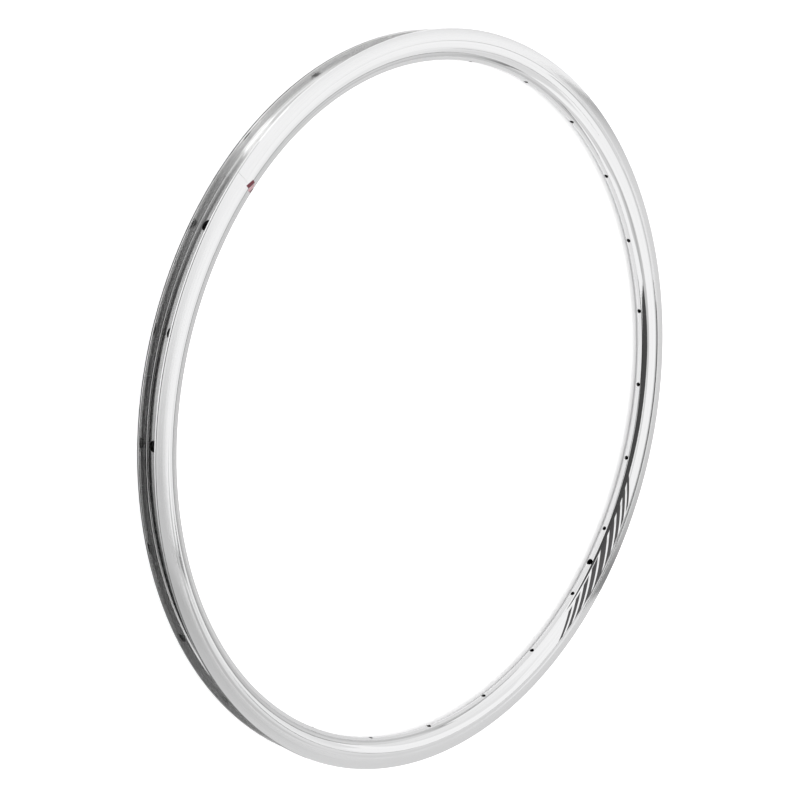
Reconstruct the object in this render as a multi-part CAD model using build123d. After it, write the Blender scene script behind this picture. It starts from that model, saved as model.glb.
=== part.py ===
from build123d import *
import os
from math import asin, atan2, cos, degrees, sin

# A double-wall bicycle rim for rim brakes, in millimetres.
# It lies flat: the wheel's axis is Z, the origin is the wheel's centre,
# the valve hole is on +X and the joint of the rolled hoop is on -X.

# Tyre seat and flanges
bead_seat_diameter = 622.0
flange_height = 6.0
flange_wall = 1.5
hook_lip = 0.7
hook_height = 1.9
lip_chamfer = 0.6
bead_corner = 0.7
bead_shelf = 2.3
well_drop = 1.3
well_slope = 1.6

# Body of the extrusion
outer_width = 22.4
rim_depth = 24.5
track_height = 9.6
track_step = 0.9
shoulder_height = 2.0
nose_round = 7.0
nose_width = 7.6
side_wall = 1.0
tyre_bed = 1.1
spoke_bed = 2.0

# Drilling: each spoke line leans to one flange, by turns
spoke_count = 24
spoke_hole = 4.2
spoke_tilt = 4.5
access_hole = 8.5
valve_hole = 6.5

# Butt joint and the sleeve that is pressed into both ends of the chamber
seam_gap = 0.2
sleeve_length = 60.0
sleeve_wall = 1.6
sleeve_clearance = 0.1

# Places that follow from the sizes above
bead_seat_radius = bead_seat_diameter / 2
outer_radius = bead_seat_radius + flange_height
nose_radius = outer_radius - rim_depth
half_width = outer_width / 2
body_half = half_width - track_step
flange_inside = half_width - flange_wall
shelf_end = flange_inside - bead_shelf
well_depth = flange_height + well_drop
well_half = shelf_end - well_slope
shoulder_depth = track_height + shoulder_height
nose_depth = rim_depth - nose_round
floor_depth = rim_depth - spoke_bed
seam_angle = degrees(seam_gap / outer_radius)
spoke_pitch = 360 / spoke_count

# The nose is an arc of its own width, and each side is an arc from the shoulder that runs tangent into it
nose_half = nose_width / 2
nose_lean = asin(nose_half / nose_round)
nose_edge = nose_depth + nose_round * cos(nose_lean)
side_run = nose_edge - shoulder_depth
side_rise = body_half - nose_half
side_sag = side_run * cos(nose_lean) - side_rise * sin(nose_lean)
side_round = (side_run**2 + side_rise**2) / (2 * side_sag)
side_depth = nose_edge - side_round * cos(nose_lean)
side_offset = nose_half - side_round * sin(nose_lean)


def at(depth, offset):
    """Section point at a depth below the flange tops and an offset from the middle plane."""
    return (outer_radius - depth, offset)


def both_sides(points):
    """Points of the upper half, followed by their mirror images back to the lower half."""
    mirrored = [(depth, -offset) for depth, offset in reversed(points)]
    return [at(depth, offset) for depth, offset in points + mirrored]


def side_arc(side):
    """Side wall from shoulder to nose, on side 1 (upper) or -1 (lower)."""
    centre = at(side_depth, side * side_offset)
    start = degrees(atan2(body_half - side_offset, side_depth - shoulder_depth))
    return CenterArc(centre, side_round, start * side, (180 - degrees(nose_lean) - start) * side)


def extrusion_outline():
    """Outside of the section, from the upper shoulder over flanges and tyre bed, and round the nose."""
    lip_inside = flange_inside - hook_lip
    upper_half = [
        (shoulder_depth, body_half),
        (track_height, body_half),
        (track_height, half_width),
        (lip_chamfer, half_width),
        (0, half_width - lip_chamfer),
        (0, lip_inside + lip_chamfer),
        (lip_chamfer, lip_inside),
        (hook_height, lip_inside),
        (hook_height + hook_lip, flange_inside),
        (flange_height - bead_corner, flange_inside),
        (flange_height, flange_inside - bead_corner),
        (flange_height, shelf_end),
        (well_depth, well_half),
    ]
    half_sweep = degrees(nose_lean)
    nose = CenterArc(at(nose_depth, 0), nose_round, 180 - half_sweep, 2 * half_sweep)
    return make_face(Polyline(*both_sides(upper_half)) + side_arc(1) + nose + side_arc(-1))


def side_inside(depth):
    """Offset of the chamber's wall at a depth below the shoulder, one wall inside the side's arc."""
    radius = side_round - side_wall
    return (radius**2 - (depth - side_depth) ** 2) ** 0.5 + side_offset


def chamber_outline():
    """Closed chamber between tyre bed and spoke bed, with a flat floor where the nipples sit."""
    shelf_under = flange_height + tyre_bed
    knee_depth = (shoulder_depth + floor_depth) / 2
    upper_half = [
        (floor_depth, side_inside(floor_depth)),
        (knee_depth, side_inside(knee_depth)),
        (shoulder_depth, side_inside(shoulder_depth)),
        (shelf_under, side_inside(shoulder_depth)),
        (shelf_under, shelf_end),
        (well_depth + tyre_bed, well_half),
    ]
    return make_face(Polyline(*both_sides(upper_half), close=True))


def rolled(section, sweep, middle):
    """Section rolled about the wheel's axis through sweep degrees, centred on the azimuth middle."""
    return Rot(0, 0, middle - sweep / 2) * revolve(Plane.XZ * section, Axis.Z, sweep)


def drill(diameter, start, end, azimuth, tilt):
    """Round cutter along a spoke line, from start to end outwards of the nose."""
    line = Rot(0, 0, azimuth) * Pos(nose_radius, 0, 0) * Rot(0, 90 - tilt, 0)
    along = (Align.CENTER, Align.CENTER, Align.MIN)
    return line * Pos(0, 0, start) * Cylinder(diameter / 2, end - start, align=along)


def rim_hoop():
    """Rolled extrusion with its butt joint open by a hair, drilled for the spokes and the valve."""
    hoop = rolled(extrusion_outline() - chamber_outline(), 360 - seam_angle, 0)
    inside = (spoke_bed + rim_depth - well_depth - tyre_bed) / 2
    cutters = [drill(valve_hole, -nose_round, rim_depth, 0, 0)]
    for index in range(spoke_count):
        azimuth = (index + 0.5) * spoke_pitch
        tilt = spoke_tilt if index % 2 else -spoke_tilt
        cutters.append(drill(spoke_hole, -nose_round, inside, azimuth, tilt))
        cutters.append(drill(access_hole, inside, rim_depth, azimuth, tilt))
    return hoop - cutters


def joint_sleeve():
    """Hollow insert that fills the chamber on both sides of the joint."""
    chamber = chamber_outline()
    outside = offset(chamber, -sleeve_clearance, kind=Kind.INTERSECTION)
    inside = offset(outside, -sleeve_wall, kind=Kind.INTERSECTION)
    return rolled(outside - inside, degrees(sleeve_length / nose_radius), 180)


os.makedirs("parts", exist_ok=True)
export_step(rim_hoop(), "parts/rim_hoop.step")
export_step(joint_sleeve(), "parts/joint_sleeve.step")
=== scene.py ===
# %% [markdown]
# # A polished bicycle rim
# A rim starts as a hollow aluminium bar, squeezed through a die that gives it a hooked channel for the tyre,
# two flat brake tracks and a rounded nose for the spokes. The bar is rolled into a hoop, its ends are butted
# over a sleeve, and the hoop is drilled and polished. This lesson loads the measured model and dresses it:
# a finely turned hoop in place of the coarse one, the finish of each band, and the printed mark.

# %% Load the frame
from math import asin, atan2, cos, degrees, pi, radians, sin, sqrt, tan

import bpy
from mathutils import Matrix, Quaternion, Vector


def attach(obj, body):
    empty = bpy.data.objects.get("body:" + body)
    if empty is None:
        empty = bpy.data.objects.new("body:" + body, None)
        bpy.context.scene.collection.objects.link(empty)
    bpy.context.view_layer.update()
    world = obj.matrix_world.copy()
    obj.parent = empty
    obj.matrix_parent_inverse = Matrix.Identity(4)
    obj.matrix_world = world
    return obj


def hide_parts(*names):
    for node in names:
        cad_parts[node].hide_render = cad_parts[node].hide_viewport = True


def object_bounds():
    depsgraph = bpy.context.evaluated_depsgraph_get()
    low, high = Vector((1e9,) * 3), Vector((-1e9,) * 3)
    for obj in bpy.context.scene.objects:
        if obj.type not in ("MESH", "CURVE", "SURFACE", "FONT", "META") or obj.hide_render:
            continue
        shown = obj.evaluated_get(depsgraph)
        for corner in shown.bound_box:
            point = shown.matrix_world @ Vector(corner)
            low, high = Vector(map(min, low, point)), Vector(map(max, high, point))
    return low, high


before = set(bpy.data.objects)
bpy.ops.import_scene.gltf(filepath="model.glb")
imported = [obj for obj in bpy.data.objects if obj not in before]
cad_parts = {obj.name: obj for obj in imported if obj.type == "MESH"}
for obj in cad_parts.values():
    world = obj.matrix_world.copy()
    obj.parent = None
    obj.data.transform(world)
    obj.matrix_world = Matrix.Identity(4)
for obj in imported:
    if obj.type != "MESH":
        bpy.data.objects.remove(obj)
cad_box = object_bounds()
MM = 0.001
print("nodes in the frame:", sorted(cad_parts))

# %% [markdown]
# ## The camera
# The rim cannot stand unheld, so it lies on its side and the camera looks down on it. The camera's place and
# its lens come from fitting the picture's spoke holes and both flange edges, and its roll turns the lying
# hoop upright in the picture. A small lens shift stands for the picture's crop. A plain upright camera is
# aimed first and then rolled about its own line of sight, because that keeps the facts apart: where it
# stands, where it looks and how far it leans.

# %% Camera
camera_place = Vector((-0.79502, -0.36653, 0.74701))
camera_aim = Vector((-0.06114, -0.05233, 0.0))
camera_roll = radians(102.89)
camera_lens = 59.54
camera_shift = (0.0211, 0.0282)

camera = bpy.data.objects.new("photo_camera", bpy.data.cameras.new("photo_camera"))
camera.data.lens = camera_lens
camera.data.shift_x, camera.data.shift_y = camera_shift
camera.location = camera_place
camera.rotation_mode = "QUATERNION"
line_of_sight = camera_aim - camera_place
camera.rotation_quaternion = line_of_sight.to_track_quat("-Z", "Y") @ Quaternion((0, 0, 1), camera_roll)
bpy.context.scene.collection.objects.link(camera)
bpy.context.scene.camera = camera
bpy.context.scene.view_settings.view_transform = "Standard"
camera_azimuth = atan2(camera_place.y, camera_place.x)
print("camera stands", round(line_of_sight.length, 3), "m from what it looks at")

# %% [markdown]
# ## A helper for shader nodes
# Every material below is a small graph of nodes. One helper makes a node, sets its options and either links a
# socket or writes a constant to it, so that each material reads as a list of steps.


# %% Node helper
def add(tree, kind, inputs=None, **options):
    """A new node in tree, with options set and each input linked to a socket or given a constant."""
    node = tree.nodes.new(kind)
    for name, value in options.items():
        setattr(node, name, value)
    for name, value in (inputs or {}).items():
        if isinstance(value, bpy.types.NodeSocket):
            tree.links.new(value, node.inputs[name])
        else:
            node.inputs[name].default_value = value
    return node


def calculate(tree, operation, first, second=0.0):
    """Output of a Math node on two values or sockets."""
    return add(tree, "ShaderNodeMath", {0: first, 1: second}, operation=operation).outputs[0]


def remap(tree, value, low, high, to_low=0.0, to_high=1.0):
    """Output of a clamped Map Range node."""
    sockets = {"Value": value, "From Min": low, "From Max": high, "To Min": to_low, "To Max": to_high}
    return add(tree, "ShaderNodeMapRange", sockets).outputs["Result"]


def new_material(name):
    """An empty node material and its tree."""
    material = bpy.data.materials.new(name)
    material.use_nodes = True
    material.node_tree.nodes.clear()
    return material, material.node_tree


print("node helpers ready")

# %% [markdown]
# ## The studio
# Polished metal shows the room more than itself, so the room is built first. A pale floor lies under a white
# tent, and one wide soft lamp hangs overhead. All three could simply be bright, but that would burn out the
# metal. So they light it at a plain level, the floor is lifted towards white only for the camera, and the tent
# is white only where the camera or a mirror looks at it.

# %% Floor
floor_size = 12.0
floor_white = (0.93, 0.93, 0.93, 1.0)
floor_rough = (0.85, 0.95)
floor_lift = 0.45


def lay_floor():
    """Square pale floor at the rim's lowest point."""
    half, height = floor_size / 2, cad_box[0].z
    corners = [(-half, -half, height), (half, -half, height), (half, half, height), (-half, half, height)]
    mesh = bpy.data.meshes.new("floor")
    mesh.from_pydata(corners, [], [(0, 1, 2, 3)])
    material, tree = new_material("floor_paper")
    tone = add(tree, "ShaderNodeTexNoise", {"Scale": 3.0, "Detail": 2.0}).outputs["Fac"]
    rough = remap(tree, tone, 0.3, 0.7, *floor_rough)
    seen = add(tree, "ShaderNodeLightPath").outputs["Is Camera Ray"]
    lift = calculate(tree, "MULTIPLY", seen, floor_lift)
    shader = add(tree, "ShaderNodeBsdfPrincipled", {
        "Base Color": floor_white, "Roughness": rough, "Specular IOR Level": 0.0,
        "Emission Color": floor_white, "Emission Strength": lift})
    add(tree, "ShaderNodeOutputMaterial", {"Surface": shader.outputs["BSDF"]})
    mesh.materials.append(material)
    floor = bpy.data.objects.new("floor", mesh)
    bpy.context.scene.collection.objects.link(floor)


lay_floor()
print("floor at", round(cad_box[0].z, 4), "m")

# %% Tent
tent_fill = 0.78


def hang_tent():
    """White room for the eye and for mirror rays, with a plain fill level for everything else."""
    world = bpy.data.worlds.new("white_tent")
    bpy.context.scene.world = world
    world.use_nodes = True
    tree = world.node_tree
    tree.nodes.clear()
    path = add(tree, "ShaderNodeLightPath")
    seen = calculate(tree, "ADD", path.outputs["Is Camera Ray"], path.outputs["Is Glossy Ray"])
    seen = calculate(tree, "ADD", seen, path.outputs["Is Transmission Ray"])
    strength = remap(tree, seen, 0.0, 1.0, tent_fill, 1.0)
    background = add(tree, "ShaderNodeBackground", {"Color": (1.0, 1.0, 1.0, 1.0), "Strength": strength})
    add(tree, "ShaderNodeOutputWorld", {"Surface": background.outputs["Background"]})


hang_tent()
print("tent looks white and fills at", tent_fill)

# %% Lamp
lamp_height = 2.4
lamp_size = 2.6
lamp_power = 26.0


def hang_lamp():
    """Wide soft lamp straight above the rim."""
    lamp = bpy.data.lights.new("overhead_lamp", "AREA")
    lamp.shape = "DISK"
    lamp.size = lamp_size
    lamp.energy = lamp_power
    holder = bpy.data.objects.new("overhead_lamp", lamp)
    holder.location = (0.0, 0.0, lamp_height)
    holder.visible_glossy = False
    bpy.context.scene.collection.objects.link(holder)


hang_lamp()
print("lamp of", lamp_power, "W hangs", lamp_height, "m up")

# %% [markdown]
# ## Screens that only the metal sees
# The dark and grey bands on bright metal are the cloths and cards that a photographer sets round it. Painting
# them on the hoop would be quick, but they would stick to it when the view changes. Here they are screens that
# mirror rays meet and nothing else does. They stay in the room and show in the metal, but they light no matt
# surface and cast no shadow. A screen's tone is written on its own points, so one material serves all of them
# and a screen can fade along its length.


# %% Screen surface
def screen_material():
    """Plain glow whose level is written on the screen's own points."""
    material, tree = new_material("screen_glow")
    tone = add(tree, "ShaderNodeAttribute", attribute_name="tone").outputs["Fac"]
    glow = add(tree, "ShaderNodeEmission", {"Color": (1.0, 1.0, 1.0, 1.0), "Strength": tone})
    add(tree, "ShaderNodeOutputMaterial", {"Surface": glow.outputs["Emission"]})
    return material


screen_glow = screen_material()


def seen_in_metal_only(name, verts, tones, rows):
    """Stage surface of even columns of points that mirror rays meet and nothing else does."""
    columns = len(verts) // rows
    corners = [column * rows + row for column in range(columns - 1) for row in range(rows - 1)]
    mesh = bpy.data.meshes.new(name)
    mesh.from_pydata(verts, [], [(corner, corner + 1, corner + rows + 1, corner + rows) for corner in corners])
    mesh.attributes.new("tone", "FLOAT", "POINT").data.foreach_set("value", tones)
    mesh.materials.append(screen_glow)
    screen = bpy.data.objects.new(name, mesh)
    screen.visible_camera = False
    screen.visible_diffuse = False
    screen.visible_transmission = False
    screen.visible_shadow = False
    bpy.context.scene.collection.objects.link(screen)


print("screens share", screen_glow.name)

# %% [markdown]
# ## Cloths round the room
# Far away stand a dark cloth behind the camera, a low grey backdrop facing it with a darker edge, two pale
# panels above the backdrop and the thin bar of a boom. Each is a piece of a dome, given by stations along it:
# the bearing from the camera, the lowest and highest elevation in degrees, and the tone. A dome is easy to
# aim, because a far screen shows in the metal by its direction alone.

# %% Cloths round the room
room_radius = 5.5
boom_radius = 5.0
screen_step, screen_rows = 1.5, 12
dark_tone, backdrop_tone, edge_tone, boom_tone = 0.07, 0.60, 0.14, 0.04
backdrop_top, edge_top = 18.5, 22.5


def between(stations, step):
    """Stations with even ones added between them."""
    filled = [Vector(stations[0])]
    for before, after in zip(stations, stations[1:]):
        count = max(1, round((after[0] - before[0]) / step))
        filled += [Vector(before).lerp(Vector(after), share / count) for share in range(1, count + 1)]
    return filled


def stand_screen(name, stations, distance=room_radius, arched=False):
    """Part of a dome round the rim: bearing from the camera's, lowest and highest elevation, tone."""
    verts, tones = [], []
    first, last = stations[0][0], stations[-1][0]
    for bearing, low, high, tone in between(stations, screen_step):
        bow = sqrt(max(0.0, 1 - (2 * (bearing - first) / (last - first) - 1) ** 2)) if arched else 1.0
        azimuth = camera_azimuth + radians(bearing)
        for row in range(screen_rows + 1):
            elevation = radians(low + (high - low) * row / screen_rows) * bow
            flat = distance * cos(elevation)
            verts.append((flat * cos(azimuth), flat * sin(azimuth), distance * sin(elevation)))
            tones.append(tone)
    seen_in_metal_only(name, verts, tones, screen_rows + 1)


dark_cloth = [
    (-62, 25, 32), (-43, 14, 42), (-22, 12, 59), (10, 14, 63),
    (34, 8, 62), (46, 16, 61), (58, 38, 60), (73, 56, 58)]
stand_screen("dark_screen", [(*place, dark_tone) for place in dark_cloth])
stand_screen("backdrop", [(bearing, 0, backdrop_top, backdrop_tone) for bearing in (100, 275)], arched=True)
stand_screen("backdrop_edge", [
    (bearing, backdrop_top, edge_top, edge_tone) for bearing in (100, 275)], arched=True)
stand_screen("pale_panel", [
    (144, edge_top, 44, 0.80), (166, edge_top, 44, 0.78), (178, edge_top, 42, 0.92),
    (188, edge_top, 36, 0.88), (199, edge_top, 33, 0.80)])
stand_screen("side_panel", [(207, 22, 35, 0.84), (211, 20, 56, 0.86), (262, 14, 58, 0.96)])
boom_bar = [(165.5, 49, 50.6), (171, 41.5, 43.1), (176, 34, 35.6)]
stand_screen("boom", [(*place, boom_tone) for place in boom_bar], boom_radius)
print("dark cloth behind the camera, at", round(degrees(camera_azimuth)), "degrees round")

# %% [markdown]
# ## Cards close to the hoop
# A mirror tells near from far: a card close by shows only in the band that faces it. A card on the table beyond
# the hoop shades the far brake track alone. Low cards stand just outside the near side, where the open channel
# throws the view straight back, so the channel takes their tone: pale, a bright glow by the joint, then nearly
# black. The glow stays low and a duller strip stands over it, or the track would show it from other sides.

# %% Cards close to the hoop
table_distance = 0.75
near_distance = 0.334
near_foot, near_top, glow_top = -0.4, 13, 3.8
glow_start, glow_end = -38.5, -31.5

stand_screen("table_card", [
    (116, 29, 45, 0.72), (127, 25, 39, 0.72), (148, 15, 29, 0.72), (162.4, 12.5, 26, 0.73),
    (162.8, 12.5, 26, 0.24), (166, 12, 25, 0.28), (170, 11.5, 24.5, 0.50), (177, 11, 24, 0.64),
    (187, 11, 24, 0.71), (207, 13.5, 26.5, 0.75), (214, 15.5, 29, 0.72), (219, 16.5, 30, 0.56),
    (222.5, 18, 31, 0.36)], table_distance)
stand_screen("near_pale", [(bearing, near_foot, near_top, 1.0) for bearing in (-76, glow_start)], near_distance)
stand_screen("near_glow", [
    (bearing, near_foot, glow_top, 1.8) for bearing in (glow_start, glow_end)], near_distance)
stand_screen("near_fade", [
    (glow_start, glow_top, near_top, 0.94), (glow_end, glow_top, near_top, 0.62)], near_distance)
stand_screen("near_card", [(bearing, near_foot, top, tone) for bearing, top, tone in (
    (glow_end, near_top, 0.60), (-27.5, near_top, 0.50), (-26.8, near_top, 0.30), (-20, near_top, 0.22),
    (-12, near_top, 0.11), (-4, near_top, 0.03), (10, near_top, 0.01), (25, 17, 0.01),
    (40, 20, 0.01), (48, 20, 0.02), (58, 19, 0.12), (76, 12, 0.32))], near_distance)
print("near cards stand", round(near_distance / MM + cad_box[0].x / MM), "mm outside the hoop")

# %% [markdown]
# ## Sheets on the floor and a scrim overhead
# Inside the hoop lies a grey sheet that darkens towards the camera. In front of it lies a pale sheet with a
# dark ring, and a painted contact shadow where the hoop touches down, which the floor of the channel shows as
# thin lines. A scrim above the near side gives the near brake track its slow run from white to grey. These are
# flat, because a level mirror such as the track shows a level cloth unbent, so its edges are easy to place.

# %% Sheets on the floor
sheet_step = 4
sheet_lift = 0.3
sheet_middle, sheet_far, sheet_near = 0.75, 0.92, 0.58
front_pale, front_dim = 1.08, 0.34
# contact_shade is painted shade: the dark strip of the front sheet where the hoop touches down stands for its
# contact shadow.
contact_shade, dark_ring = 0.06, 0.12


def lay_sheet(name, rings, bearings):
    """Sheet on the floor in rings: radius, tone at the first bearing, tone at the last."""
    verts, tones, height = [], [], cad_box[0].z + sheet_lift * MM
    for bearing in range(bearings[0], bearings[1] + 1, sheet_step):
        azimuth = camera_azimuth + radians(bearing)
        share = (bearing - bearings[0]) / (bearings[1] - bearings[0])
        for radius, first_tone, last_tone in rings:
            verts.append((radius * cos(azimuth), radius * sin(azimuth), height))
            tones.append(first_tone + (last_tone - first_tone) * share)
    seen_in_metal_only(name, verts, tones, len(rings))


def table_rings(first_tone, last_tone):
    """Rings of the grey sheet, from the middle of the hoop to just inside its nose."""
    return [(0.001, sheet_middle, sheet_middle), (0.285, first_tone, last_tone)]


def front_rings(first_tone, last_tone):
    """Rings of the sheet in front: painted contact shadow, pale, dark, pale again."""
    return [
        (0.3165, contact_shade, contact_shade), (0.3180, contact_shade, contact_shade),
        (0.3181, first_tone, last_tone), (0.3212, first_tone, last_tone),
        (0.3216, dark_ring, dark_ring), (0.3242, dark_ring, dark_ring),
        (0.3246, first_tone, last_tone), (0.334, first_tone, last_tone)]


lay_sheet("grey_table_left", table_rings(sheet_far, sheet_near), (-180, 0))
lay_sheet("grey_table_right", table_rings(sheet_near, sheet_far), (0, 180))
lay_sheet("front_left", front_rings(front_pale, front_pale), (-80, 4))
lay_sheet("front_middle", front_rings(front_pale, front_dim), (4, 32))
lay_sheet("front_right", front_rings(front_dim, front_dim), (32, 80))
print("a grey sheet inside the hoop and a pale one in front of it")

# %% Scrim overhead
scrim_height = 0.6
scrim_step = 0.02
scrim_near_edge = -0.02


def hang_scrim(name, stations):
    """Level cloth from the near edge to a shaped far edge: distance aside, far edge, tone."""
    verts, tones = [], []
    for aside, far_edge, tone in between(stations, scrim_step):
        for ahead in (scrim_near_edge, far_edge):
            flat = Vector((ahead, aside)) @ Matrix.Rotation(-camera_azimuth, 2)
            verts.append((flat.x, flat.y, scrim_height))
            tones.append(tone)
    seen_in_metal_only(name, verts, tones, 2)


hang_scrim("scrim", [
    (-0.34, -0.29, 1.03), (-0.257, -0.21, 1.0), (-0.155, -0.17, 0.89), (-0.05, -0.155, 0.80),
    (0.06, -0.18, 0.70), (0.16, -0.24, 0.59), (0.285, -0.33, 0.61), (0.293, -0.335, 0.46),
    (0.395, -0.43, 0.56), (0.47, -0.52, 0.63), (0.553, -0.66, 0.68), (0.68, -0.86, 0.72)])
print("scrim hangs", scrim_height, "m up")

# %% [markdown]
# ## The section of the bar
# The hoop's shape is its section, so the section is worked out once, in millimetres. A depth is measured
# from the flange tops towards the hub and an offset from the middle plane. The corners of the real bar are
# softened by the die and by polishing, and a polished edge shows as a thin line of light, so each corner gets
# a small round. The nose and the sides are arcs that run into each other without a break. The floor of the
# channel has a shelf for each tyre bead, a slope down from the shelf's ridge, a level strip and a shallow dip
# along the middle. A traced curve could give the same line, but named sizes are easier to check and change.

# %% Section sizes
outer_radius = -cad_box[0].x / MM
half_width = cad_box[1].z / MM
flange_height = 6.0
flange_wall = 1.5
hook_lip = 0.7
hook_height = 1.9
bead_shelf = 2.3
well_drop = 1.3
well_slope = 1.6
shelf_ridge = 8.4
slope_foot = 7.13
strip_depth = 7.03
dip_edge = 3.8
dip_run = 1.92
dip_round = 26.5
rim_depth = 24.5
track_height = 9.6
track_step = 0.9
shoulder_height = 2.0
nose_round = 7.0
nose_width = 7.6
side_wall = 1.0
tyre_bed = 1.1
spoke_bed = 2.0

body_half = half_width - track_step
flange_inside = half_width - flange_wall
lip_inside = flange_inside - hook_lip
shelf_end = flange_inside - bead_shelf
well_half = shelf_end - well_slope
well_depth = flange_height + well_drop
shoulder_depth = track_height + shoulder_height
floor_depth = rim_depth - spoke_bed
nose_radius = outer_radius - rim_depth

nose_lean = asin(nose_width / 2 / nose_round)
nose_edge = rim_depth - nose_round + nose_round * cos(nose_lean)
side_run = nose_edge - shoulder_depth
side_rise = body_half - nose_width / 2
side_sag = side_run * cos(nose_lean) - side_rise * sin(nose_lean)
side_round = (side_run**2 + side_rise**2) / (2 * side_sag)
side_depth = nose_edge - side_round * cos(nose_lean)
side_offset = nose_width / 2 - side_round * sin(nose_lean)
print("outer radius", round(outer_radius, 2), "mm, sides curve on", round(side_round, 2), "mm")

# %% Arcs and rounded corners
nose_steps, side_steps, corner_steps = 6, 14, 5


def arc(centre, radius, start, end, steps):
    """Points of an arc in the section; the angle runs from the hub direction towards the offset."""
    angles = [start + (end - start) * step / steps for step in range(steps + 1)]
    return [(centre[0] + radius * cos(angle), centre[1] + radius * sin(angle)) for angle in angles]


def rounded(corners, steps=corner_steps):
    """Points of an open line whose inner corners, given as depth, offset and round, are arcs."""
    points = [corners[0][:2]]
    for before, corner, after in zip(corners, corners[1:], corners[2:]):
        here, radius = Vector(corner[:2]), corner[2]
        back = (Vector(before[:2]) - here).normalized()
        ahead = (Vector(after[:2]) - here).normalized()
        half_angle = back.angle(ahead) / 2
        centre = here + (back + ahead).normalized() * radius / sin(half_angle)
        start = here + back * radius / tan(half_angle) - centre
        end = here + ahead * radius / tan(half_angle) - centre
        for step in range(steps + 1):
            spoke = start.lerp(end, step / steps).normalized() * radius
            points.append(tuple(centre + spoke))
    return points + [corners[-1][:2]]


print("each corner has", corner_steps, "steps")


# %% Section outlines
def outside_half():
    """Upper half of the bar's outside, from the middle of the nose to the middle of the tyre bed."""
    nose = arc((rim_depth - nose_round, 0.0), nose_round, 0.0, nose_lean, nose_steps)
    shoulder_angle = atan2(body_half - side_offset, shoulder_depth - side_depth)
    side = arc((side_depth, side_offset), side_round, nose_lean, shoulder_angle, side_steps)
    rest = rounded([
        (shoulder_depth, body_half, 0.0),
        (track_height, body_half, 0.2),
        (track_height, half_width, 0.2),
        (0.0, half_width, 0.4),
        (0.0, lip_inside, 0.45),
        (hook_height, lip_inside, 0.4),
        (hook_height + hook_lip, flange_inside, 0.5),
        (flange_height, flange_inside, 0.35),
        (flange_height, shelf_ridge, 1.2),
        (strip_depth, slope_foot, 0.15),
        (strip_depth, dip_edge, 0.8),
        (well_depth, dip_edge - dip_run, dip_round),
        (well_depth, 0.0, 0.0),
    ])
    return nose + side[1:] + rest[1:]


def side_inside(depth):
    """Offset of the chamber's wall, one wall thickness inside the side's arc."""
    return sqrt((side_round - side_wall) ** 2 - (depth - side_depth) ** 2) + side_offset


def chamber_half():
    """Upper half of the hollow, from the middle of its floor to the middle under the tyre bed."""
    knee_depth = (shoulder_depth + floor_depth) / 2
    shelf_under = flange_height + tyre_bed
    return [
        (floor_depth, 0.0),
        (floor_depth, side_inside(floor_depth)),
        (knee_depth, side_inside(knee_depth)),
        (shoulder_depth, side_inside(shoulder_depth)),
        (shelf_under, side_inside(shoulder_depth)),
        (shelf_under, shelf_end),
        (well_depth + tyre_bed, well_half),
        (well_depth + tyre_bed, 0.0),
    ]


def closed(half):
    """Whole outline from its upper half."""
    return half + [(depth, -offset) for depth, offset in reversed(half[1:-1])]


outside, chamber = closed(outside_half()), closed(chamber_half())
print("section has", len(outside), "points outside and", len(chamber), "in the chamber")

# %% [markdown]
# ## The finishes
# One bar carries several finishes. The sides and the nose are polished to a mirror with faint lines along
# the hoop. The brake tracks are turned on a lathe, so fine grooves run round them. The tyre channel keeps the
# dull drawn surface of the die, and drilled edges are bright but rough. Lines that run round the hoop are used
# by several of them, so they are one node group: noise that is fine across the section and very long around
# it. Smudges and scuffs from handling are a second group.

# %% Places round the hoop
mean_radius = 305.0


def group_tree(name, inputs, outputs):
    """An empty node group with named value sockets; each input has a default."""
    tree = bpy.data.node_groups.new(name, "ShaderNodeTree")
    for socket, value in inputs.items():
        made = tree.interface.new_socket(name=socket, in_out="INPUT", socket_type="NodeSocketFloat")
        made.default_value = value
    for socket in outputs:
        tree.interface.new_socket(name=socket, in_out="OUTPUT", socket_type="NodeSocketFloat")
    return tree, add(tree, "NodeGroupInput").outputs


def hoop_position(tree, across, along):
    """Vector for noise: radius and height by across per millimetre, the way round by along per millimetre."""
    place = add(tree, "ShaderNodeTexCoord").outputs["Object"]
    axes = add(tree, "ShaderNodeSeparateXYZ", {"Vector": place}).outputs
    squares = [calculate(tree, "MULTIPLY", axes[axis], axes[axis]) for axis in ("X", "Y")]
    flat = calculate(tree, "SQRT", calculate(tree, "ADD", *squares))
    turn = calculate(tree, "ARCTAN2", axes["Y"], axes["X"])
    across_metre = calculate(tree, "DIVIDE", across, MM)
    round_metre = calculate(tree, "MULTIPLY", along, mean_radius)
    parts = {
        "X": calculate(tree, "MULTIPLY", flat, across_metre),
        "Y": calculate(tree, "MULTIPLY", axes["Z"], across_metre),
        "Z": calculate(tree, "MULTIPLY", turn, round_metre),
    }
    return add(tree, "ShaderNodeCombineXYZ", parts).outputs["Vector"]


print("one turn is", round(2 * pi * mean_radius), "mm long")


# %% Lines and marks
def drawn_lines_group():
    """Fine lines along the hoop, left by the die and the polishing wheel."""
    tree, given = group_tree("drawn_lines", {"Across": 2.0, "Along": 0.01}, ["Lines"])
    vector = hoop_position(tree, given["Across"], given["Along"])
    noise = add(tree, "ShaderNodeTexNoise", {"Vector": vector, "Scale": 1.0, "Detail": 3.0, "Roughness": 0.6})
    add(tree, "NodeGroupOutput", {"Lines": noise.outputs["Fac"]})
    return tree


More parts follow.
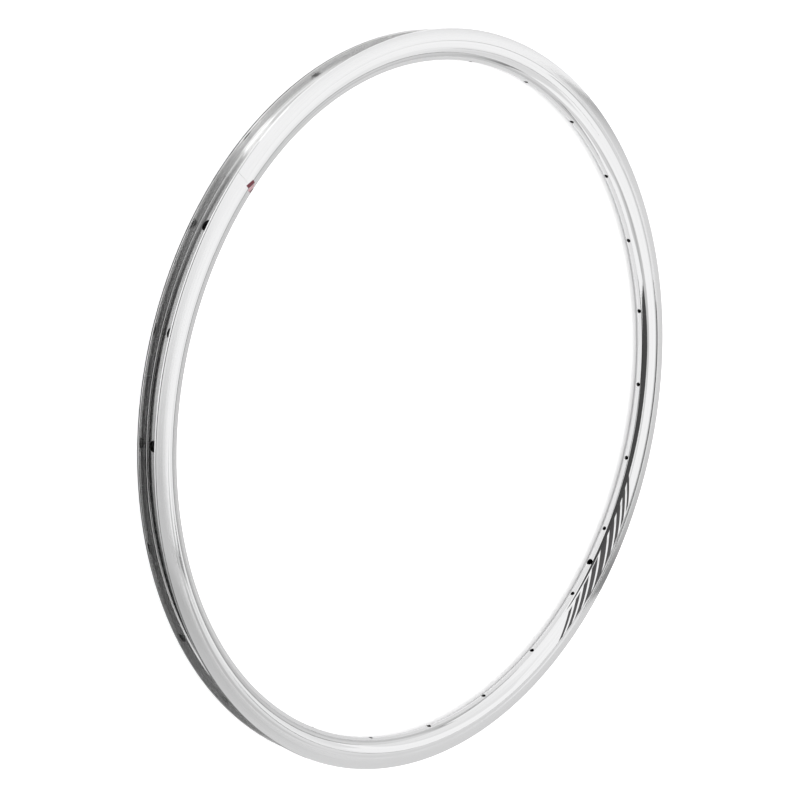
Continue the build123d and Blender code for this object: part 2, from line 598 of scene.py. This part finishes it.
def handling_group():
    """Soft smudges and small bright scuffs from handling."""
    tree, given = group_tree("handling_marks", {"Size": 0.08, "Amount": 0.3}, ["Smudge", "Scuff"])
    vector = hoop_position(tree, given["Size"], calculate(tree, "MULTIPLY", given["Size"], 0.35))
    smudge = add(tree, "ShaderNodeTexNoise", {"Vector": vector, "Scale": 1.0, "Detail": 4.0}).outputs["Fac"]
    fine = hoop_position(tree, calculate(tree, "MULTIPLY", given["Size"], 9.0), given["Size"])
    speck = add(tree, "ShaderNodeTexNoise", {"Vector": fine, "Scale": 1.0, "Detail": 2.0}).outputs["Fac"]
    bound = calculate(tree, "SUBTRACT", 0.78, calculate(tree, "MULTIPLY", given["Amount"], 0.2))
    scuff = remap(tree, speck, bound, calculate(tree, "ADD", bound, 0.06))
    add(tree, "NodeGroupOutput", {"Smudge": remap(tree, smudge, 0.35, 0.75), "Scuff": scuff})
    return tree


drawn_lines = drawn_lines_group()
handling_marks = handling_group()
print("shared effects:", drawn_lines.name, "and", handling_marks.name)

# %% [markdown]
# ## Aluminium by finish
# All the bands are the same bare metal, so one function makes them and only the values differ: two close tones
# mixed along the lines, how rough the surface is, how close and how long the lines are, how deep they go in
# millimetres and how much wear shows. A separate graph for each band would say the same thing five times.


# %% Aluminium by finish
def aluminium(name, pale, dark, rough, across, along, groove, marks):
    """Bare metal in one finish; pale and dark are its two tones, rough its lowest and highest roughness."""
    material, tree = new_material(name)
    lines = add(tree, "ShaderNodeGroup", node_tree=drawn_lines)
    lines.inputs["Across"].default_value = across
    lines.inputs["Along"].default_value = along
    wear = add(tree, "ShaderNodeGroup", node_tree=handling_marks)
    wear.inputs["Amount"].default_value = marks
    streak = remap(tree, lines.outputs["Lines"], 0.3, 0.7)
    tint = add(tree, "ShaderNodeMix", {"Factor": streak, "A": dark, "B": pale}, data_type="RGBA")
    polish = remap(tree, wear.outputs["Smudge"], 0.0, 1.0, *rough)
    polish = calculate(tree, "ADD", polish, calculate(tree, "MULTIPLY", wear.outputs["Scuff"], 0.15))
    height = calculate(tree, "SUBTRACT", streak, wear.outputs["Scuff"])
    bump = add(tree, "ShaderNodeBump", {"Height": height, "Strength": 1.0, "Distance": groove * MM})
    shader = add(tree, "ShaderNodeBsdfPrincipled", {
        "Base Color": tint.outputs["Result"], "Metallic": 1.0,
        "Roughness": polish, "Normal": bump.outputs["Normal"]})
    add(tree, "ShaderNodeOutputMaterial", {"Surface": shader.outputs["BSDF"]})
    return material


polished_wall = aluminium(
    "polished_wall", pale=(0.90, 0.90, 0.905, 1.0), dark=(0.86, 0.86, 0.865, 1.0), rough=(0.05, 0.09),
    across=1.2, along=0.006, groove=0.001, marks=0.3)
turned_track = aluminium(
    "turned_track", pale=(0.90, 0.90, 0.905, 1.0), dark=(0.85, 0.85, 0.855, 1.0), rough=(0.10, 0.15),
    across=4.0, along=0.003, groove=0.008, marks=0.35)
drawn_channel = aluminium(
    "drawn_channel", pale=(0.84, 0.84, 0.84, 1.0), dark=(0.77, 0.77, 0.77, 1.0), rough=(0.20, 0.26),
    across=1.5, along=0.004, groove=0.014, marks=0.5)
raw_chamber = aluminium(
    "raw_chamber", pale=(0.50, 0.50, 0.50, 1.0), dark=(0.42, 0.42, 0.42, 1.0), rough=(0.40, 0.50),
    across=1.0, along=0.004, groove=0.004, marks=0.6)
drilled_edge = aluminium(
    "drilled_edge", pale=(0.62, 0.62, 0.62, 1.0), dark=(0.50, 0.50, 0.50, 1.0), rough=(0.30, 0.40),
    across=3.0, along=0.2, groove=0.003, marks=0.2)
finishes = [polished_wall, turned_track, drawn_channel, raw_chamber, drilled_edge]
print("finishes:", [finish.name for finish in finishes])

# %% [markdown]
# ## The hoop
# Rolling the section round the wheel's axis is a lathe step: each point of the outline becomes a ring. A few
# hundred steps are needed, because a mirror shows every flat. Blender's Screw modifier could roll it too, but
# in mesh code each ring knows which band of the section it belongs to, so it gets its finish as it is made.

# %% Which finish goes where
WALL, TRACK, CHANNEL, CHAMBER, DRILLED = range(5)
band_margin = 0.05
lip_crest = 0.75
well_margin = 0.1


def finish_of(depth, offset):
    """Which finish a stretch of the outside has, by the middle of the stretch."""
    if abs(offset) > half_width - band_margin:
        return TRACK
    in_channel = lip_crest < depth < well_depth + well_margin and abs(offset) < flange_inside + band_margin
    return CHANNEL if in_channel else WALL


print("the tyre bed is", finishes[finish_of(well_depth, 0.0)].name)

# %% Rolled bar
turns = 480


def on_hoop(depth, offset, azimuth):
    """Place in metres of a section point at an angle round the hoop."""
    radius = (outer_radius - depth) * MM
    return (radius * cos(azimuth), radius * sin(azimuth), offset * MM)


def roll(outline, faces_out, finish, verts, faces, kinds):
    """Adds the rings of one outline to the lists, with its faces turned outwards or into the hollow."""
    first, count = len(verts), len(outline)
    for turn in range(turns):
        verts += [on_hoop(depth, offset, 2 * pi * turn / turns) for depth, offset in outline]
    for turn in range(turns):
        here, ahead = first + turn * count, first + (turn + 1) % turns * count
        for index, (depth, offset) in enumerate(outline):
            following = (index + 1) % count
            face = (here + index, here + following, ahead + following, ahead + index)
            faces.append(face if faces_out else face[::-1])
            middle = ((depth + outline[following][0]) / 2, (offset + outline[following][1]) / 2)
            kinds.append(finish(*middle))


def mesh_object(name, verts, faces, kinds, materials):
    """A mesh object with one material index for each face."""
    mesh = bpy.data.meshes.new(name)
    mesh.from_pydata(verts, [], faces)
    for material in materials:
        mesh.materials.append(material)
    mesh.polygons.foreach_set("material_index", kinds)
    made = bpy.data.objects.new(name, mesh)
    bpy.context.scene.collection.objects.link(made)
    return made


verts, faces, kinds = [], [], []
roll(outside, True, finish_of, verts, faces, kinds)
roll(chamber, False, lambda depth, offset: CHAMBER, verts, faces, kinds)
hoop = mesh_object("hoop", verts, faces, kinds, finishes)
print("rolled bar:", len(verts), "points,", len(faces), "faces")

# %% [markdown]
# ## Drilling
# Each spoke line has a narrow hole in the nose and a wider access hole in the tyre bed, through which the
# nipple drops in. The lines lean to one flange and the other by turns, as the spokes do. The valve hole goes
# straight through, and opposite it a hairline parts the bar's two ends. All are cut by one boolean, as a drill
# and a saw would cut them, which leaves real edges and lets the eye into the hollow.

# %% Drills
spoke_count = 24
spoke_hole = 4.2
spoke_tilt = radians(4.5)
access_hole = 8.5
valve_hole = 6.5
seam_gap = 0.1
drill_sides = 40
drill_over, drill_into = 5.0, 3.0


def drill(diameter, start, end, azimuth, tilt, verts, faces):
    """Adds a round cutter along a spoke line, from start to end millimetres outwards of the nose."""
    along = Vector((cos(tilt) * cos(azimuth), cos(tilt) * sin(azimuth), sin(tilt)))
    side = Vector((-sin(azimuth), cos(azimuth), 0.0))
    up = along.cross(side)
    root = Vector(on_hoop(rim_depth, 0.0, azimuth))
    first = len(verts)
    for distance in (start, end):
        for step in range(drill_sides):
            angle = 2 * pi * step / drill_sides
            rim_point = (side * cos(angle) + up * sin(angle)) * diameter / 2
            verts.append(root + (along * distance + rim_point) * MM)
    for step in range(drill_sides):
        following = (step + 1) % drill_sides
        near, far = first + step, first + following
        faces.append((near, far, far + drill_sides, near + drill_sides))
    faces.append(tuple(first + step for step in reversed(range(drill_sides))))
    faces.append(tuple(first + drill_sides + step for step in range(drill_sides)))


def saw_cut(verts, faces):
    """Adds the thin slab that parts the bar's two ends, opposite the valve."""
    first = len(verts)
    for x in (-outer_radius - drill_over, -nose_radius + drill_over):
        for y in (-seam_gap / 2, seam_gap / 2):
            verts += [Vector((x, y, z)) * MM for z in (-half_width - drill_over, half_width + drill_over)]
    slab = [(0, 1, 3, 2), (4, 6, 7, 5), (0, 4, 5, 1), (2, 3, 7, 6), (0, 2, 6, 4), (1, 5, 7, 3)]
    faces += [tuple(first + corner for corner in face) for face in slab]


print("drills of", spoke_hole, access_hole, "and", valve_hole, "mm and a cut of", seam_gap, "mm")

# %% Drilled hoop
hoop_crease = radians(28)


def cut_holes(hoop):
    """Cuts every hole and the joint's hairline in one go."""
    verts, faces = [], []
    under_bed = rim_depth - well_depth - tyre_bed
    drill(valve_hole, -drill_over, rim_depth + drill_over, 0.0, 0.0, verts, faces)
    for index in range(spoke_count):
        azimuth = (index + 0.5) * 2 * pi / spoke_count
        tilt = spoke_tilt if index % 2 else -spoke_tilt
        drill(spoke_hole, -drill_over, spoke_bed + drill_into, azimuth, tilt, verts, faces)
        drill(access_hole, under_bed - drill_into, under_bed + drill_over, azimuth, tilt, verts, faces)
    saw_cut(verts, faces)
    cutter = mesh_object("cutter", verts, faces, [DRILLED] * len(faces), finishes)
    step = hoop.modifiers.new("drill", "BOOLEAN")
    step.operation = "DIFFERENCE"
    step.solver = "EXACT"
    step.object = cutter
    bpy.context.view_layer.objects.active = hoop
    bpy.ops.object.modifier_apply(modifier=step.name)
    bpy.data.objects.remove(cutter)


cut_holes(hoop)
hoop.data.polygons.foreach_set("use_smooth", [True] * len(hoop.data.polygons))
hoop.data.set_sharp_from_angle(angle=hoop_crease)
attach(hoop, "root")
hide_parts("rim_hoop")
print("drilled hoop:", len(hoop.data.polygons), "faces")

# %% [markdown]
# ## The print and the sticker
# The side by the valve carries a screen print in dark ink, here a row of leaning bars, and a small torn
# sticker clings to the joint. Ink and foil are films a few hundredths of a millimetre thick that follow the
# curve of the metal, so each patch is a thin closed solid. It is laid out in two angles, one round the hoop
# and one over the arc of the side, which bends it to fit without any wrapping.

# %% Films on the side
film_sunk, film_raised = -0.02, 0.05
film_step_round, film_step_over = 0.5, 3.0


def on_side(azimuth, lean, lift):
    """Place on the upper side: degrees round the hoop, degrees of lean from the hub direction, lift in mm."""
    lean, radius = radians(lean), side_round + lift
    return on_hoop(side_depth + radius * cos(lean), side_offset + radius * sin(lean), radians(azimuth))


def lay_film(corners, verts, faces):
    """Adds a closed film over a patch whose four corners, azimuth and lean, go round it."""
    (a, b, c, d), first = [Vector(corner) for corner in corners], len(verts)
    columns = max(2, round(max((b - a).x, (c - d).x) / film_step_round))
    rows = max(2, round(abs(d.y - a.y) / film_step_over))
    layer = (columns + 1) * (rows + 1)
    for lift in (film_sunk, film_raised):
        for row in range(rows + 1):
            start, end = a.lerp(d, row / rows), b.lerp(c, row / rows)
            verts += [on_side(*start.lerp(end, column / columns), lift) for column in range(columns + 1)]
    for row in range(rows):
        for column in range(columns):
            corner = first + row * (columns + 1) + column
            face = (corner, corner + 1, corner + columns + 2, corner + columns + 1)
            faces += [face[::-1], tuple(layer + index for index in face)]
    edge = list(range(columns))
    edge += [row * (columns + 1) + columns for row in range(rows)]
    edge += [rows * (columns + 1) + column for column in range(columns, 0, -1)]
    edge += [row * (columns + 1) for row in range(rows, 0, -1)]
    for here, ahead in zip(edge, edge[1:] + edge[:1]):
        faces.append((first + here, first + ahead, first + layer + ahead, first + layer + here))


print("films stand", film_raised, "mm proud of the metal")

# %% Ink and foil
ink_grain = 0.3
ink_ripple = 0.004
ink_spread = 0.15
film_crease = radians(40)


def ink(name, colour, rough):
    """Semi-gloss film with a faintly uneven surface."""
    material, tree = new_material(name)
    wear = add(tree, "ShaderNodeGroup", node_tree=handling_marks)
    wear.inputs["Size"].default_value = ink_grain
    uneven = wear.outputs["Smudge"]
    gloss = remap(tree, uneven, 0.0, 1.0, rough, rough + ink_spread)
    bump = add(tree, "ShaderNodeBump", {"Height": uneven, "Strength": 1.0, "Distance": ink_ripple * MM})
    shader = add(tree, "ShaderNodeBsdfPrincipled", {
        "Base Color": colour, "Roughness": gloss, "Normal": bump.outputs["Normal"]})
    add(tree, "ShaderNodeOutputMaterial", {"Surface": shader.outputs["BSDF"]})
    return material


def film_object(name, patches, material):
    """One object of several films, riding on the rim."""
    verts, faces = [], []
    for corners in patches:
        lay_film(corners, verts, faces)
    made = mesh_object(name, verts, faces, [0] * len(faces), [material])
    made.data.polygons.foreach_set("use_smooth", [True] * len(faces))
    made.data.set_sharp_from_angle(angle=film_crease)
    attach(made, "root")
    print(name, "has", len(patches), "films and", len(faces), "faces")


dark_ink = ink("dark_ink", (0.045, 0.043, 0.045, 1.0), 0.35)
maroon_foil = ink("maroon_foil", (0.14, 0.023, 0.036, 1.0), 0.4)
pink_foil = ink("pink_foil", (0.55, 0.25, 0.28, 1.0), 0.4)
print("films are", dark_ink.name, maroon_foil.name, "and", pink_foil.name)

# %% [markdown]
# ## Printed bars
# The print is a row of slanted bars that are widest and tallest in the middle. A printer would cut them in a
# stencil. They could be typed in corner by corner, but a loop over their widths keeps the gaps and the slant
# even, and one value changes them all.

# %% Printed bars
print_start = -10.5
print_lean = 7.5
print_gap = 1.3
print_rows = (38.0, 88.0)
bar_inset = 1.2
bar_widths = (1.5, 1.9, 2.3, 2.8, 3.4, 2.8, 2.3, 1.9, 1.5)

bars, here, middle = [], print_start, len(bar_widths) // 2
for index, width in enumerate(bar_widths):
    inset = bar_inset * abs(index - middle)
    low, high = print_rows[0] + inset, print_rows[1] - inset
    reach = (high - low) / (print_rows[1] - print_rows[0]) * print_lean
    shift = (print_lean - reach) / 2
    bars.append([(here - shift, low), (here + width - shift, low),
                 (here + width - shift - reach, high), (here - shift - reach, high)])
    here += width + print_gap
film_object("printed_bars", bars, dark_ink)

# %% [markdown]
# ## Torn sticker
# A small sticker often covers the joint, and little of it lasts. Three slanted scraps of foil are left here,
# two maroon and one pink. Each is a patch given by its corners, because torn pieces follow no rule.

# %% Torn sticker
film_object("sticker_maroon", [
    [(179.0, 62.0), (180.4, 72.0), (180.4, 86.0), (179.0, 76.0)],
    [(179.6, 44.0), (180.5, 51.0), (180.5, 60.0), (179.6, 51.0)],
], maroon_foil)
film_object("sticker_pink", [
    [(179.2, 54.0), (180.6, 63.0), (180.6, 70.0), (179.2, 60.0)],
], pink_foil)

# %% [markdown]
# ## The joint sleeve
# A short hollow sleeve inside the bar holds its two ends in line. It hardly shows, only as a duller wall
# through the nearest holes, so building it again would add nothing. The measured piece stays and takes a satin
# finish from the same function as the rest of the metal.

# %% Sleeve finish
satin_sleeve = aluminium(
    "satin_sleeve", pale=(0.62, 0.62, 0.63, 1.0), dark=(0.52, 0.52, 0.53, 1.0), rough=(0.35, 0.45),
    across=1.0, along=0.01, groove=0.003, marks=0.4)
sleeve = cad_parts["joint_sleeve"]
sleeve.data.materials.clear()
sleeve.data.materials.append(satin_sleeve)
print("sleeve wears", satin_sleeve.name)
